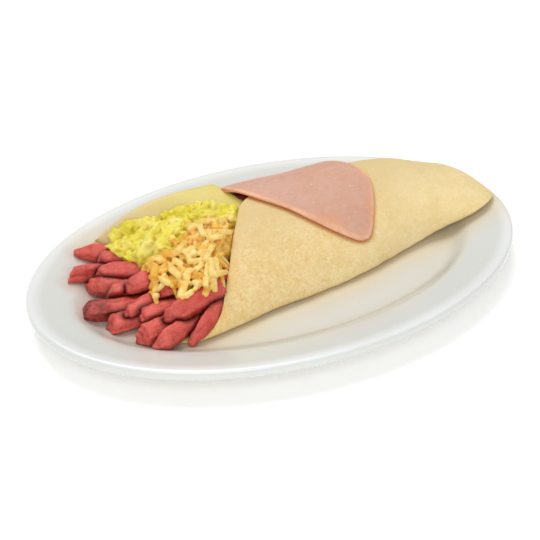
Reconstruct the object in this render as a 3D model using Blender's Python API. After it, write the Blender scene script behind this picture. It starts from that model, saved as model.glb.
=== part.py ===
"""A filled flour wrap on an oval plate, +Z up, the origin on the table under the plate's middle.

The wrap lies along X, its open mouth at -X and its closed end on the plate's rim at +X.
Sizes are in millimetres, and become metres where a mesh is made.
"""

import math
import random

import bmesh
import bpy
import numpy as np
from mathutils import Matrix, Vector, noise
from mathutils.bvhtree import BVHTree

METRE = 0.001
GAP = 0.35
SEED = 11

# Plate
PLATE_LENGTH = 305.0
PLATE_WIDTH = 203.4
PLATE_SIDES = 44
# Distance in from the oval edge and height, over the top and then back along the underside
PLATE_TOP = (
    (0.0, 16.6), (0.3, 19.6), (1.4, 21.0), (4.0, 20.7), (14.0, 18.3), (25.0, 15.9),
    (29.0, 14.1), (32.0, 11.3), (35.5, 9.2), (41.0, 8.5),
)
PLATE_UNDER = (
    (52.0, 3.8), (46.0, 3.8), (44.5, 0.0), (41.0, 0.0), (38.5, 1.6), (33.0, 6.2),
    (26.0, 10.4), (12.0, 12.8), (1.6, 14.6),
)

# Wrap: pairs of x and a measure of the cross-section there
SHEET = 2.3
WRAP_END = 149.0
WRAP_FRONT = (
    (-100, -48), (-75, -47.5), (-62, -45.3), (-33, -40.5), (6, -35), (31, -31.8), (54, -26.5), (72, -21.2),
    (97, -15), (112, -14.5), (121, -15),
)
WRAP_BACK = ((-100, 60), (-70, 66), (-40, 65), (-10, 60.5), (20, 58.5), (60, 57), (95, 51), (121, 43))
WRAP_HEIGHT = ((-100, 44), (-60, 46), (-20, 45), (0, 44.5), (25, 45), (70, 45.5), (98, 41), (121, 34), (149, 29.5))
WRAP_FLOOR = ((-100, 8.5), (85, 8.5), (100, 11), (121, 16.5), (149, 21))
RIM_CLEARANCE = 1.3
WRAP_WAIST = 3.6
WRAP_CORNER = 7.0
CREST_SHARE = 0.72
FRONT_POWER = 1.42
BACK_POWER = 2.1
DISC_RADIUS = 121.0
DISC_CENTRE = (25.0, 10.0)
ROWS_FRONT, ROWS_BACK, ROWS_CORNER, ROWS_FLOOR = 12, 9, 3, 6
WRAP_STATIONS = 16
STATION_SPACING = 1.25
CAVITY_END = 116.0

# The closed end: where it starts to round off, the height it rounds to, and its middle at both ends
TAPER_START = 110.0
TAPER_HEIGHT = 22.5
TAPER_MIDDLE = (11.0, -3.0)
TAPER_ACROSS = (3.2, 0.5)
TAPER_UPWARD = (2.6, 0.5)

# The mouth, as the x where the sheet starts: by the share of the height on the flap, then further round
FLAP_EDGE = (
    (0, -71.5), (0.09, -61.5), (0.2, -55.2), (0.35, -49.2), (0.5, -43.2), (0.64, -35.6), (0.78, -28.4),
    (0.89, -20), (0.95, -15.3), (1, -8),
)
CREST_FOLD = 7.0
BACK_LOW = -94.0
BACK_MIDDLE = -70.0
BACK_HIGH = -4.0
FLOOR_SPAN = (59.0, 99.0)
FRONT_LIP = (-76.0, 1.3)
FLAP_MARGIN = 4.0
OPEN_ROOF = -22.0
OPEN_HEIGHT = 60.0
FAR_OFF = -200.0

# Cheese slice: x against the place and height of its ridge and its fall in front of it
SLICE_THICK = 2.2
SLICE_SPAN = (-92.0, -20.0)
SLICE_RIDGE_Y = ((-92, 56), (-85, 55), (-72, 53), (-52, 52.5), (-20, 52))
SLICE_RIDGE_Z = ((-92, 24), (-85, 31), (-72, 40), (-52, 45), (-20, 45))
SLICE_FALL = ((-92, 1.2), (-75, 1.2), (-55, 0.8), (-43, 0.45), (-20, 0.25))
SLICE_SKEW = 0.55
SLICE_ROWS = 10
SLICE_BEND = 3.0
SLICE_LOWEST = 18.0
# The slice stands this high over its foot where its back edge is as deep as below
SLICE_FOOT, SLICE_RISE = 15.0, 30.0
SLICE_EASING = (0.0, -0.2, 0.1)
EASING_ROUNDS = 40
# Distances in front of the ridge, and steps behind it as (back, down)
SLICE_FRONT = (25.0, 20.0, 15.5, 11.5, 8.0, 5.0, 2.4)
SLICE_BACK = ((0.0, 0.0), (2.3, 1.0), (3.8, 4.0), (4.4, 9.0), (4.8, 15.0), (5.4, 21.0), (6.0, 26.0))

# Ham slice: its corners as x and the distance over the wrap from its crest line
HAM_THICK = 2.5
HAM_CORNERS = ((50.0, -64.0), (79.0, -13.0), (13.0, 56.0), (-17.0, 11.0))
HAM_ROUNDING = 5.0
HAM_GRID = (13, 11)
HAM_EASING = 0.1

# Sausage strips, each a quarter of a sausage cut lengthways
SAUSAGE_RADIUS = 10.6
STRIP_SIDES = 9
STRIP_STATIONS = 8
STRIP_ROUNDING = 9
STRIP_MIDDLE = 0.6
STRIP_BENDING = 2.0
LEAF, DOME, CUT = 1.7, 0.8, 0.18
BLUNT_END, ROUND_END = 0.75, 0.3
CUT_SLANT = 0.4
# Middle of the tip, heading, pitch, length, roll, size and tip, the ones in front first
STRIPS = (
    ((-86, -33, 22.0), 12, 2, 42, 45, 1.05, DOME),
    ((-79.4, -46.6, 15.0), 37, 12, 38, 55, 1.0, LEAF),
    ((-97, -47, 13.5), 26, 2, 38, 50, 0.95, DOME),
    ((-101, -34, 16.0), 8, 0, 38, 40, 1.05, CUT),
    ((-96, 1, 21.5), 5, 3, 62, 30, 1.0, DOME),
    ((-103.5, 29, 21.0), -25, 0, 60, 30, 0.9, DOME),
    ((-108, 54, 22.5), -28, -3, 60, 30, 1.0, LEAF),
    ((-111, 26, 15.0), -35, -4, 48, 40, 1.1, DOME),
    ((-97, -22, 19.5), -3, 0, 56, 10, 0.85, DOME),
    ((-103, -15, 15.5), 6, 0, 60, 20, 0.85, DOME),
    ((-82, -13, 26.0), 0, 2, 56, 0, 0.85, CUT),
    ((-105, 6, 15.5), -12, 0, 50, -40, 1.05, CUT),
    ((-120, 9, 13.0), -15, 0, 60, -20, 1.3, CUT),
    ((-112.4, -11.4, 12.5), -4, 0, 55, 17, 1.08, CUT),
    ((-117, 37, 14.5), -5, 0, 50, -60, 1.1, CUT),
    ((-97, 42, 21.0), -20, 0, 60, 0, 0.95, DOME),
    ((-12, 37, 40.5), 0, 0, 60, 0, 0.8, CUT),
)
STRIP_BEADS = 8
STRIP_CORE = 5.0
PACKING_ROUNDS = 14
PACKING_HOLD = ((0.15,), (0.12,))

# Mash: x against the middle, half width and height of its top
MASH_MIDDLE = ((-91, 41), (-79, 33), (-67, 27.5), (-53, 28), (-39, 31), (-26, 26), (-11, 22.5), (20, 22), (70, 22))
MASH_HALF = ((-91, 4), (-85, 12), (-75, 18), (-66, 18), (-57, 14), (-47, 12), (-39, 10), (-11, 8), (55, 7), (70, 4))
MASH_TOP = ((-91, 26), (-85, 30), (-75, 34), (-66, 37), (-53, 41), (-39, 44), (-26, 45), (-11, 41), (20, 36), (70, 31))
MASH_ROWS, MASH_COLUMNS = 26, 10

# Grated cheese, the same measures
HEAP_MIDDLE = ((-84, -9), (-77, -6), (-66, -7), (-53, -6), (-47, -4), (-39, 0), (-26, 1), (-10, 5), (10, 8), (60, 7))
HEAP_HALF = ((-84, 3), (-77, 10), (-66, 14), (-60, 18), (-53, 22), (-47, 23), (-39, 20), (-26, 14), (-10, 7), (60, 6))
HEAP_TOP = ((-84, 24), (-75, 28), (-66, 31), (-60, 33), (-50, 37), (-40, 40), (-28, 42), (-10, 40), (60, 36))
HEAP_ROWS, HEAP_COLUMNS = 18, 9
MOUND_THIN = 1.0
MOUND_DEEP = 16.0
MOUND_ROOM = 3.0
MOUND_FALL = 9.0
WALL_AHEAD, WALL_DEPTH, WALL_ROOM = 3.0, 8.0, 1.0
LUMP_SIZE = 5.0
MASH_LUMP = 4.0
HEAP_LUMP = 1.5
ABOVE_ALL = 80.0
RAISING_ROUNDS = 60
RAISING_STEP = 0.3
SUPPORT_PROBES = ((0, 0), (2, 0), (-2, 0), (0, 2), (0, -2), (1.5, 1.5), (-1.5, 1.5), (1.5, -1.5), (-1.5, -1.5))
SHRED_TRIES = 50
SHRED_RADIUS = 1.5
SHRED_SIDES = 4
SHRED_RINGS = 3
SHRED_LENGTHS = (7.0, 14.0)
SHRED_BEND = 1.2
SHRED_TILT = (-0.12, 0.25)
SHRED_RAISE = 0.9
SHRED_LAST_X = -16.0
STEEPEST = 0.2


def clear_scene():
    for obj in list(bpy.data.objects):
        bpy.data.objects.remove(obj, do_unlink=True)


def new_collection(name):
    collection = bpy.data.collections.new(name)
    bpy.context.scene.collection.children.link(collection)
    return collection


def material(name, colour, roughness, subsurface=0.0):
    made = bpy.data.materials.new(name)
    made.use_nodes = True
    shader = made.node_tree.nodes["Principled BSDF"]
    shader.inputs["Base Color"].default_value = (*colour, 1.0)
    shader.inputs["Roughness"].default_value = roughness
    shader.inputs["Subsurface Weight"].default_value = subsurface
    made.diffuse_color = (*colour, 1.0)
    return made


def mesh_object(name, points, faces, look, collection):
    """A closed mesh of triangles from points in millimetres, with its faces turned outwards."""
    mesh = bpy.data.meshes.new(name)
    mesh.from_pydata([tuple(METRE * c for c in p) for p in points], [], faces)
    bm = bmesh.new()
    bm.from_mesh(mesh)
    bmesh.ops.triangulate(bm, faces=bm.faces)
    bmesh.ops.recalc_face_normals(bm, faces=bm.faces)
    if bm.calc_volume(signed=True) < 0:
        bmesh.ops.reverse_faces(bm, faces=bm.faces)
    bm.to_mesh(mesh)
    bm.free()
    mesh.shade_smooth()
    mesh.set_sharp_from_angle(angle=math.radians(50))
    mesh.materials.append(look)
    obj = bpy.data.objects.new(name, mesh)
    collection.objects.link(obj)
    return obj


def tree_of(points, faces):
    return BVHTree.FromPolygons([tuple(p) for p in points], faces)


def object_tree(obj):
    mesh = obj.data
    return tree_of([v.co / METRE for v in mesh.vertices], [tuple(f.vertices) for f in mesh.polygons])


def along(keys, x):
    """The smooth value at x of a measure that is given at a few places."""
    if x <= keys[0][0]:
        return keys[0][1]
    for i in range(len(keys) - 1):
        (x0, y0), (x1, y1) = keys[i], keys[i + 1]
        if x <= x1:
            before, after = keys[max(i - 1, 0)], keys[min(i + 2, len(keys) - 1)]
            span, t = x1 - x0, (x - x0) / (x1 - x0)
            slope0 = (y1 - before[1]) / (x1 - before[0])
            slope1 = (after[1] - y0) / (after[0] - x0)
            value = (2 * t**3 - 3 * t**2 + 1) * y0 + (3 * t**2 - 2 * t**3) * y1
            return value + span * ((t**3 - 2 * t**2 + t) * slope0 + (t**3 - t**2) * slope1)
    return keys[-1][1]


def tube_faces(rows, columns):
    """Quads between neighbouring rings of a tube, each ring being a row of points."""
    faces = []
    for i in range(rows - 1):
        for j in range(columns):
            k = (j + 1) % columns
            faces.append((i * columns + j, i * columns + k, (i + 1) * columns + k, (i + 1) * columns + j))
    return faces


def closed_tube(rings):
    """Points and faces of a tube with a fan over each end."""
    count = len(rings[0])
    points = [p for row in rings for p in row]
    faces = tube_faces(len(rings), count)
    for row, start in ((rings[0], 0), (rings[-1], (len(rings) - 1) * count)):
        points.append(sum(row, Vector()) / count)
        for n in range(count):
            faces.append((start + n, start + (n + 1) % count, len(points) - 1))
    return points, faces


def sheet_mesh(top, under):
    """Points and faces of the thin solid between two grids of points that are split alike."""
    rows, columns = len(top), len(top[0])
    points = [p for row in top for p in row] + [p for row in under for p in row]
    base = rows * columns
    faces = []
    for i in range(rows - 1):
        for j in range(columns - 1):
            a, b = i * columns + j, i * columns + j + 1
            c, d = b + columns, a + columns
            for corners in ((a, b, c), (a, c, d)):
                faces.append(corners)
                faces.append(tuple(base + n for n in reversed(corners)))
    rim = list(range(columns))
    rim += [i * columns + columns - 1 for i in range(1, rows)]
    rim += [(rows - 1) * columns + j for j in range(columns - 2, -1, -1)]
    rim += [i * columns for i in range(rows - 2, 0, -1)]
    for n, a in enumerate(rim):
        b = rim[(n + 1) % len(rim)]
        faces += [(a, base + a, base + b), (a, base + b, b)]
    return points, faces


def plate_height(x, y):
    """Height of the plate's top at a place."""
    low, high = 0.0, PLATE_WIDTH / 2 - 1.0
    for _ in range(20):
        inset = (low + high) / 2
        if math.hypot(x / (PLATE_LENGTH / 2 - inset), y / (PLATE_WIDTH / 2 - inset)) > 1:
            high = inset
        else:
            low = inset
    for (i0, z0), (i1, z1) in zip(PLATE_TOP, PLATE_TOP[1:]):
        if inset <= i1:
            return z0 + (z1 - z0) * (inset - i0) / (i1 - i0)
    return PLATE_TOP[-1][1]


def make_plate(look, collection):
    """Oval rings, each the edge moved in by its distance, from the underside's middle out and back."""
    rings = []
    for inset, height in PLATE_UNDER + PLATE_TOP:
        ring = []
        for i in range(PLATE_SIDES):
            angle = 2 * math.pi * i / PLATE_SIDES
            x = (PLATE_LENGTH / 2 - inset) * math.cos(angle)
            y = (PLATE_WIDTH / 2 - inset) * math.sin(angle)
            ring.append(Vector((x, y, height)))
        rings.append(ring)
    points, faces = closed_tube(rings)
    return mesh_object("plate", points, faces, look, collection)


def wrap_measures(x, inset):
    """Front, back, crest height and floor height of the wrap at x, shrunk all round by inset."""
    front, back = along(WRAP_FRONT, x), along(WRAP_BACK, x)
    height, floor = along(WRAP_HEIGHT, x), along(WRAP_FLOOR, x)
    if x > TAPER_START:
        share = min((x - TAPER_START) / (WRAP_END - inset - TAPER_START), 0.9995)
        across, upward = ((1 - share**power) ** root for power, root in (TAPER_ACROSS, TAPER_UPWARD))
        middle = along(((TAPER_START, TAPER_MIDDLE[0]), (WRAP_END, TAPER_MIDDLE[1])), x)
        front = middle + (front - middle) * across
        back = middle + (back - middle) * across
        height = TAPER_HEIGHT + (height - TAPER_HEIGHT) * upward
        floor = TAPER_HEIGHT + (floor - TAPER_HEIGHT) * upward
    return front + inset, back - inset, height - inset, floor + inset


def resting_height(x, y, inset):
    """How low a skin of the sheet can go at a place."""
    ground = plate_height(x, y)
    return ground + GAP + RIM_CLEARANCE * min(ground - PLATE_TOP[-1][1], 1.0) + inset


def section(x, inset=0.0):
    """The closed cross-section of the wrap at x, as (y, z) from the front waist over the crest."""
    front, back, height, floor = wrap_measures(x, inset)
    waist = min(floor - inset + WRAP_WAIST, (height + floor) / 2)
    waist, back_waist = (min(max(waist, resting_height(x, y, inset)), height) for y in (front, back))
    crest = front + CREST_SHARE * (back - front)
    corner = min(WRAP_CORNER, (back - front) / 5)
    ring = []
    for i in range(ROWS_FRONT):
        angle = math.pi / 2 * i / ROWS_FRONT
        y = crest - (crest - front) * math.cos(angle) ** (2 / FRONT_POWER)
        ring.append((y, waist + (height - waist) * math.sin(angle) ** (2 / FRONT_POWER)))
    for i in range(ROWS_BACK):
        angle = math.pi / 2 * i / ROWS_BACK
        y = crest + (back - crest) * math.sin(angle) ** (2 / BACK_POWER)
        ring.append((y, back_waist + (height - back_waist) * math.cos(angle) ** (2 / BACK_POWER)))
    for i in range(ROWS_CORNER):
        angle = math.pi / 2 * i / ROWS_CORNER
        ring.append((back - corner * (1 - math.cos(angle)), back_waist - (back_waist - floor) * math.sin(angle)))
    for i in range(ROWS_FLOOR):
        ring.append((back - corner - (back - front - 2 * corner) * i / ROWS_FLOOR, floor))
    for i in range(ROWS_CORNER):
        angle = math.pi / 2 * (1 - i / ROWS_CORNER)
        ring.append((front + corner * (1 - math.cos(angle)), waist - (waist - floor) * math.sin(angle)))
    return [(y, max(z, resting_height(x, y, inset))) for y, z in ring]


def mouth_edge(row):
    """Where the sheet starts on a row of the cross-section, as an x."""
    if row <= ROWS_FRONT:
        share = math.sin(math.pi / 2 * row / ROWS_FRONT) ** (2 / FRONT_POWER)
        return along(FLAP_EDGE, share) + (CREST_FOLD if row == ROWS_FRONT else 0)
    back_row = row - ROWS_FRONT
    if back_row <= ROWS_BACK:
        share = math.cos(math.pi / 2 * back_row / ROWS_BACK) ** (2 / BACK_POWER)
        if share < 0.5:
            return BACK_LOW + (BACK_MIDDLE - BACK_LOW) * (share / 0.5) ** 1.5
        return BACK_MIDDLE + (BACK_HIGH - BACK_MIDDLE) * min((share - 0.5) / 0.2, 1.0)
    floor_row = back_row - ROWS_BACK - ROWS_CORNER
    if floor_row < 0:
        return BACK_LOW
    if floor_row <= ROWS_FLOOR:
        return mouth_floor_start(FLOOR_SPAN[0] - FLOOR_SPAN[1] * floor_row / ROWS_FLOOR)
    return FRONT_LIP[0] + FRONT_LIP[1] * (floor_row - ROWS_FLOOR)


def mouth_floor_start(y):
    """Where the sheet's floor starts at y, as an x: the edge of a round tortilla."""
    return DISC_CENTRE[0] - math.sqrt(max(DISC_RADIUS**2 - (y - DISC_CENTRE[1]) ** 2, 0.0))


def make_tortilla(look, collection):
    """The rolled sheet: one skin outside and one inside, joined round the mouth."""
    count = ROWS_FRONT + ROWS_BACK + 2 * ROWS_CORNER + ROWS_FLOOR
    points, faces = [], []
    for inset, end in ((0.0, WRAP_END - 0.4), (SHEET, CAVITY_END)):
        base = len(points)
        for step in range(WRAP_STATIONS):
            share = 1 - (1 - step / (WRAP_STATIONS - 1)) ** STATION_SPACING
            for row in range(count):
                x = mouth_edge(row) + (end - mouth_edge(row)) * share
                y, z = section(x, inset)[row]
                points.append(Vector((x, y, z)))
        faces += [tuple(base + n for n in quad) for quad in tube_faces(WRAP_STATIONS, count)]
        last = [len(points) - count + n for n in range(count)]
        points.append(sum((points[n] for n in last), Vector()) / count)
        faces += [(last[n], last[(n + 1) % count], len(points) - 1) for n in range(count)]
    inner = len(points) // 2
    faces += [(n, (n + 1) % count, inner + (n + 1) % count, inner + n) for n in range(count)]
    return mesh_object("tortilla", points, faces, look, collection)


def over_wrap(x, distance, lift):
    """A point on the wrap at a distance from its crest line, positive towards the back."""
    ring = section(x, -lift)[: ROWS_FRONT + ROWS_BACK + 1]
    step = 1 if distance > 0 else -1
    left = abs(distance)
    i = ROWS_FRONT
    while 0 <= i + step < len(ring):
        (y0, z0), (y1, z1) = ring[i], ring[i + step]
        length = math.hypot(y1 - y0, z1 - z0)
        if left <= length:
            share = left / length
            return Vector((x, y0 + (y1 - y0) * share, z0 + (z1 - z0) * share))
        left -= length
        i += step
    return Vector((x, *ring[i]))


def make_cheese_slice(look, collection, sheet):
    """A thin slice that rises inside the wrap's back, bends over a ridge and falls to the front."""
    upper = []
    for i in range(SLICE_ROWS):
        x = SLICE_SPAN[0] + (SLICE_SPAN[1] - SLICE_SPAN[0]) * i / (SLICE_ROWS - 1)
        ridge_y, ridge_z = along(SLICE_RIDGE_Y, x), along(SLICE_RIDGE_Z, x)
        fall, depth = along(SLICE_FALL, x), (ridge_z - SLICE_FOOT) / SLICE_RISE
        line = []
        for distance in SLICE_FRONT:
            drop = min(fall * distance**2 / (distance + SLICE_BEND), ridge_z - SLICE_LOWEST)
            line.append(Vector((x + SLICE_SKEW * distance, ridge_y - distance, ridge_z - drop)))
        for back, down in SLICE_BACK:
            line.append(Vector((x, ridge_y + back * (0.5 + 0.5 * depth), ridge_z - down * depth)))
        for point in line:
            point.z = max(point.z, plate_height(point.x, point.y) + 2 * GAP + SHEET + SLICE_THICK)
        upper.append(line)
    columns = len(upper[0])
    for _ in range(EASING_ROUNDS):
        points, faces = sheet_mesh(upper, thickened(upper, SLICE_THICK))
        hits = tree_of(points, faces).overlap(sheet)
        if not hits:
            break
        for n in {n % (SLICE_ROWS * columns) for hit, _ in hits for n in faces[hit]}:
            upper[n // columns][n % columns] += Vector(SLICE_EASING)
    return mesh_object("cheese_slice", points, faces, look, collection)


def thickened(grid, depth):
    """The grid's points moved down across it by a depth."""
    moved = []
    for i, row in enumerate(grid):
        line = []
        for j, point in enumerate(row):
            lengthways = grid[min(i + 1, len(grid) - 1)][j] - grid[max(i - 1, 0)][j]
            sideways = row[min(j + 1, len(row) - 1)] - row[max(j - 1, 0)]
            line.append(point - lengthways.cross(sideways).normalized() * depth)
        moved.append(line)
    return moved


def ham_places(rows, columns):
    """A grid of places in the slice, its corners rounded, as x and the distance over the wrap."""
    near, right, far, left = (Vector(corner) for corner in HAM_CORNERS)
    places = []
    for n in range(rows * columns):
        a, b = 2 * (n // columns) / (rows - 1) - 1, 2 * (n % columns) / (columns - 1) - 1
        reach = (abs(a) ** HAM_ROUNDING + abs(b) ** HAM_ROUNDING) ** (1 / HAM_ROUNDING)
        inwards = max(abs(a), abs(b)) / reach if reach else 1.0
        u, v = (1 + a * inwards) / 2, (1 + b * inwards) / 2
        places.append(near.lerp(left, u).lerp(right.lerp(far, u), v))
    return places


def make_ham_slice(look, collection, sheet):
    """A slice laid over the crest and down both sides, lifted where it would cut into the sheet."""
    rows, columns = HAM_GRID
    places = ham_places(rows, columns)
    lifts = [0.0] * len(places)
    for _ in range(EASING_ROUNDS):
        grids = []
        for depth in (HAM_THICK, 0.0):
            flat = [over_wrap(p.x, p.y, lift + depth) for p, lift in zip(places, lifts)]
            grids.append([flat[i * columns:(i + 1) * columns] for i in range(rows)])
        points, faces = sheet_mesh(*grids)
        hits = tree_of(points, faces).overlap(sheet)
        if not hits:
            break
        for n in {n % len(places) for hit, _ in hits for n in faces[hit]}:
            lifts[n] += HAM_EASING
    return mesh_object("ham_slice", points, faces, look, collection)


def strip_section(radius):
    """A quarter of a round sausage, its corners rounded, as (y, z) from the sausage's middle."""
    middle = STRIP_MIDDLE * radius
    ring = []
    for i in range(STRIP_SIDES):
        angle = 2 * math.pi * (i + 0.5) / STRIP_SIDES
        across, up = math.cos(angle), math.sin(angle)
        reach = -middle * up + math.sqrt((middle * up) ** 2 + radius**2 - middle**2)
        total = reach**-STRIP_ROUNDING
        for side in (1, -1):
            facing = (side * across - up) * math.sqrt(0.5)
            if facing > 0.05:
                total += (middle * math.sqrt(0.5) / facing) ** -STRIP_ROUNDING
        reach = total ** (-1 / STRIP_ROUNDING)
        ring.append((reach * across, middle + reach * up))
    return ring


def strip_rings(length, size, tip, bend):
    """Rings of points along a strip from its tip at X 0, before it is laid down."""
    radius = SAUSAGE_RADIUS * size
    rings = []
    for step in range(STRIP_STATIONS):
        share = step / (STRIP_STATIONS - 1)
        x = length * (0.5 - 0.5 * math.cos(math.pi * share))
        full = 1.0
        for distance, reach in ((x, radius * tip), (length - x, radius * CUT)):
            full = min(full, math.sqrt(max(1 - max(1 - distance / reach, 0.0) ** 2, 0.0)))
        blunt = tip == CUT or share >= 0.5
        full = max(full, BLUNT_END if blunt else ROUND_END)
        slant = CUT_SLANT * (1 - 2 * share) if blunt else 0.0
        sideways = bend * 4 * share * (1 - share)
        middle = STRIP_MIDDLE * radius
        row = []
        for y, z in strip_section(radius):
            row.append(Vector((x + slant * (z - middle), full * y + sideways, full * z - middle)))
        rings.append(row)
    return rings


def cutter_of(obj, collection):
    """A copy of an object that is grown all round by the gap, to cut its neighbours with."""
    mesh = obj.data.copy()
    moved = [v.co + v.normal * GAP * METRE for v in mesh.vertices]
    for vertex, place in zip(mesh.vertices, moved):
        vertex.co = place
    cutter = bpy.data.objects.new(obj.name + "_cutter", mesh)
    cutter.hide_render = True
    cutter.display_type = "WIRE"
    collection.objects.link(cutter)
    return cutter


def largest_body(bm):
    """Removes all but the largest of the closed bodies in a mesh."""
    bodies, seen = [], set()
    for start in bm.faces:
        if start in seen:
            continue
        body, waiting = [], [start]
        seen.add(start)
        while waiting:
            face = waiting.pop()
            body.append(face)
            for edge in [e for e in face.edges if len(e.link_faces) == 2]:
                for other in edge.link_faces:
                    if other not in seen:
                        seen.add(other)
                        waiting.append(other)
        bodies.append((sum(f.calc_area() for f in body), len(bodies), body))
    for _, _, body in sorted(bodies)[:-1]:
        bmesh.ops.delete(bm, geom=body, context="FACES")


def cut_by(obj, cutters):
    for cutter in cutters:
        cut = obj.modifiers.new(cutter.name, "BOOLEAN")
        cut.operation = "DIFFERENCE"
        cut.solver = "EXACT"
        cut.object = cutter
    apply_modifiers(obj)


def apply_modifiers(obj):
    """Keeps the largest body of what an object's modifiers make of it."""
    mesh = bpy.data.meshes.new_from_object(obj.evaluated_get(bpy.context.evaluated_depsgraph_get()))
    obj.modifiers.clear()
    bm = bmesh.new()
    bm.from_mesh(mesh)
    largest_body(bm)
    bm.to_mesh(mesh)
    bm.free()
    mesh.name = obj.name
    obj.data = mesh


def packed_axes():
    """Near and far ends of the strips' axes, pushed apart from where the strips are wanted."""
    wanted = []
    for tip, heading, pitch, length, *_ in STRIPS:
        turn = Matrix.Rotation(math.radians(heading), 3, "Z") @ Matrix.Rotation(math.radians(-pitch), 3, "Y")
        wanted.append((Vector(tip), Vector(tip) + turn @ Vector((length, 0, 0))))
    wanted = np.array([[tuple(a), tuple(b)] for a, b in wanted])
    ends = wanted.copy()
    shares = np.linspace(0.06, 0.94, STRIP_BEADS)[None, :, None]
    radii = np.repeat([STRIP_CORE * row[5] for row in STRIPS], STRIP_BEADS)
    owner = np.repeat(np.arange(len(STRIPS)), STRIP_BEADS)
    for _ in range(PACKING_ROUNDS):
        beads = (ends[:, :1] * (1 - shares) + ends[:, 1:] * shares).reshape(-1, 3)
        between = beads[:, None] - beads[None]
        distance = np.linalg.norm(between, axis=2) + 1e-6
        depth = np.maximum(radii[:, None] + radii[None] - distance, 0)
        depth[owner[:, None] == owner[None]] = 0
        push = 0.5 * (between / distance[..., None] * depth[..., None]).sum(axis=1)
        for n, (x, y, z) in enumerate(beads):
            inside = mouth_floor_start(y) < x
            ground = plate_height(x, y) + GAP + (SHEET + GAP if inside else 0.0) + radii[n] * 0.8
            push[n, 2] += max(ground - z, 0.0)
            if x > FLAP_EDGE[0][1] - FLAP_MARGIN:
                push[n, 1] += max(front_wall(x, z) + radii[n] - y, 0.0)
                push[n, 1] -= max(y - wrap_measures(x, SHEET + GAP)[1] + radii[n], 0.0)
                push[n, 2] -= max(z + radii[n] - roof_height(x, y), 0.0)
        push = push.reshape(len(STRIPS), STRIP_BEADS, 3)
        ends[:, 0] += 0.25 * (push * (1 - shares)).sum(axis=1)
        ends[:, 1] += 0.25 * (push * shares).sum(axis=1)
        ends += np.array(PACKING_HOLD) * (wanted - ends)
    return ends


def laid(rings, near, far, roll):
    heading = (Vector(far) - Vector(near)).normalized()
    turn = heading.to_track_quat("X", "Z").to_matrix().to_4x4()
    place = Matrix.Translation(near) @ turn @ Matrix.Rotation(math.radians(roll), 4, "X")
    return [[place @ p for p in row] for row in rings]


def make_strips(look, collection, cutters, around):
    """The sausage strips, pressed together: each is cut by those before it and by what is around."""
    draw = random.Random(SEED)
    made = []
    cutting = [cutter_of(obj, cutters) for obj in around]
    for n, ((near, far), row) in enumerate(zip(packed_axes(), STRIPS), 1):
        roll, size, tip = row[4:]
        bend = draw.uniform(-STRIP_BENDING, STRIP_BENDING)
        rings = strip_rings((Vector(far) - Vector(near)).length, size, tip, bend)
        strip = mesh_object(f"sausage_{n:02d}", *closed_tube(laid(rings, near, far, roll)), look, collection)
        tree = object_tree(strip)
        close = [cutter for cutter in cutting if tree.overlap(object_tree(cutter))]
        if close:
            cut_by(strip, close)
        cutting.append(cutter_of(strip, cutters))
        made.append(strip)
    return made


def front_wall(x, z):
    """Place of the front flap's inner side at a height, or far off where the mouth is open."""
    ring = section(x, SHEET + GAP)[: ROWS_FRONT + 1]
    waist, crest = ring[0][1], ring[-1][1]
    if x < along(FLAP_EDGE, (z - waist) / (crest - waist)) - FLAP_MARGIN:
        return FAR_OFF
    for (y0, z0), (y1, z1) in zip(ring, ring[1:]):
        if z < z1:
            return y0 + (y1 - y0) * max(z - z0, 0.0) / (z1 - z0)
    return ring[-1][0]


def roof_height(x, y):
    """Height of the sheet's inner side over a place, or of nothing much where the mouth is open."""
    ring = section(x, SHEET + GAP)[: ROWS_FRONT + ROWS_BACK + 1]
    waist, crest = ring[0][1], ring[ROWS_FRONT][1]
    if y < ring[0][0]:
        return 0.0 if x > FLAP_EDGE[0][1] - FLAP_MARGIN / 2 else OPEN_HEIGHT
    for i, ((y0, z0), (y1, z1)) in enumerate(zip(ring, ring[1:])):
        if y0 <= y <= y1:
            height = z0 + (z1 - z0) * (y - y0) / (y1 - y0)
            start = along(FLAP_EDGE, (height - waist) / (crest - waist)) if i < ROWS_FRONT else OPEN_ROOF
            return height if x > start - FLAP_MARGIN / 2 else OPEN_HEIGHT
    return OPEN_HEIGHT


def support_height(x, y, below):
    """Height of the highest solid of a list under a place."""
    best = PLATE_TOP[-1][1] + GAP + SHEET
    for dx, dy in SUPPORT_PROBES:
        for tree in below:
            hit = tree.ray_cast(Vector((x + dx, y + dy, ABOVE_ALL)), Vector((0, 0, -1)))[0]
            if hit is not None:
                best = max(best, hit.z)
    return best


def reach_of(x, middle, reach, top, below):
    """How far from its middle a mound can go before the sheet leaves it no room."""
    if reach < 0:
        wall = front_wall(x + WALL_AHEAD, top - WALL_DEPTH) + WALL_ROOM
        reach = min(max(reach, wall - middle), -MOUND_ROOM)
    while abs(reach) > MOUND_ROOM:
        if roof_height(x, middle + reach) - support_height(x, middle + reach, below) > MOUND_ROOM:
            break
        reach *= 0.94
    return reach


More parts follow.
